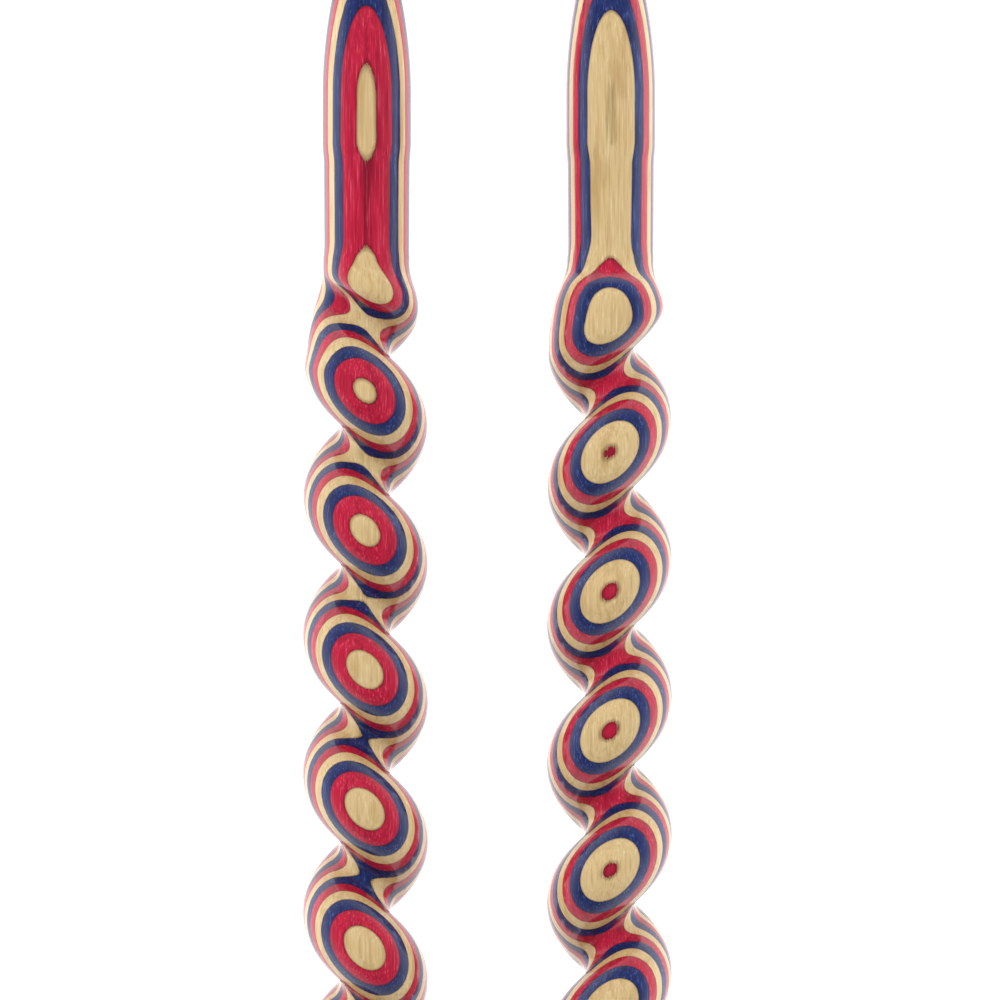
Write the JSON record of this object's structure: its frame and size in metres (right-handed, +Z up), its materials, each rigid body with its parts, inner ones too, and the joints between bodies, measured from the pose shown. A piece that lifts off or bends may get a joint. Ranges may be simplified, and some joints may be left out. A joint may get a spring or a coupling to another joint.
{
  "type": "double pointed knitting needles",
  "caption": "Pair of pointed knitting needles in laminated dyed veneer, with a barley twist grip, one twisted each way.",
  "frame": {"origin": "on the table, under the middle of the pair", "axes": "+Y along both needles, +X across the pair from the left-handed to the right-handed needle, +Z up, through the veneers"},
  "size_m": [0.041, 0.2, 0.014],
  "materials": {
    "natural_veneer": "clear gloss lacquer over bare birch veneer",
    "red_veneer": "clear gloss lacquer over red dyed veneer",
    "blue_veneer": "clear gloss lacquer over blue dyed veneer"
  },
  "bodies": {
    "left_needle": {"left_veneer_01_natural": "natural_veneer", "left_veneer_02_red": "red_veneer", "left_veneer_03_blue": "blue_veneer", "left_veneer_04_natural": "natural_veneer", "left_veneer_05_red": "red_veneer", "left_veneer_06_blue": "blue_veneer", "left_veneer_07_natural": "natural_veneer", "left_veneer_08_red": "red_veneer", "left_veneer_09_blue": "blue_veneer", "left_veneer_10_natural": "natural_veneer", "left_veneer_11_red": "red_veneer", "left_veneer_12_blue": "blue_veneer", "left_veneer_13_natural": "natural_veneer", "left_veneer_14_red": "red_veneer", "left_veneer_15_blue": "blue_veneer", "left_veneer_16_natural": "natural_veneer", "left_veneer_17_red": "red_veneer", "left_veneer_18_blue": "blue_veneer", "left_veneer_19_natural": "natural_veneer"},
    "right_needle": {"right_veneer_01_red": "red_veneer", "right_veneer_02_natural": "natural_veneer", "right_veneer_03_blue": "blue_veneer", "right_veneer_04_red": "red_veneer", "right_veneer_05_natural": "natural_veneer", "right_veneer_06_blue": "blue_veneer", "right_veneer_07_red": "red_veneer", "right_veneer_08_natural": "natural_veneer", "right_veneer_09_blue": "blue_veneer", "right_veneer_10_red": "red_veneer", "right_veneer_11_natural": "natural_veneer", "right_veneer_12_blue": "blue_veneer", "right_veneer_13_red": "red_veneer", "right_veneer_14_natural": "natural_veneer", "right_veneer_15_blue": "blue_veneer", "right_veneer_16_red": "red_veneer", "right_veneer_17_natural": "natural_veneer", "right_veneer_18_blue": "blue_veneer", "right_veneer_19_red": "red_veneer"}
  },
  "joints": [
    {"name": "lift_right_needle", "type": "slide", "parent": "left_needle", "child": "right_needle", "axis": [0, 0, 1], "range_m": [0, 0.1]}
  ]
}
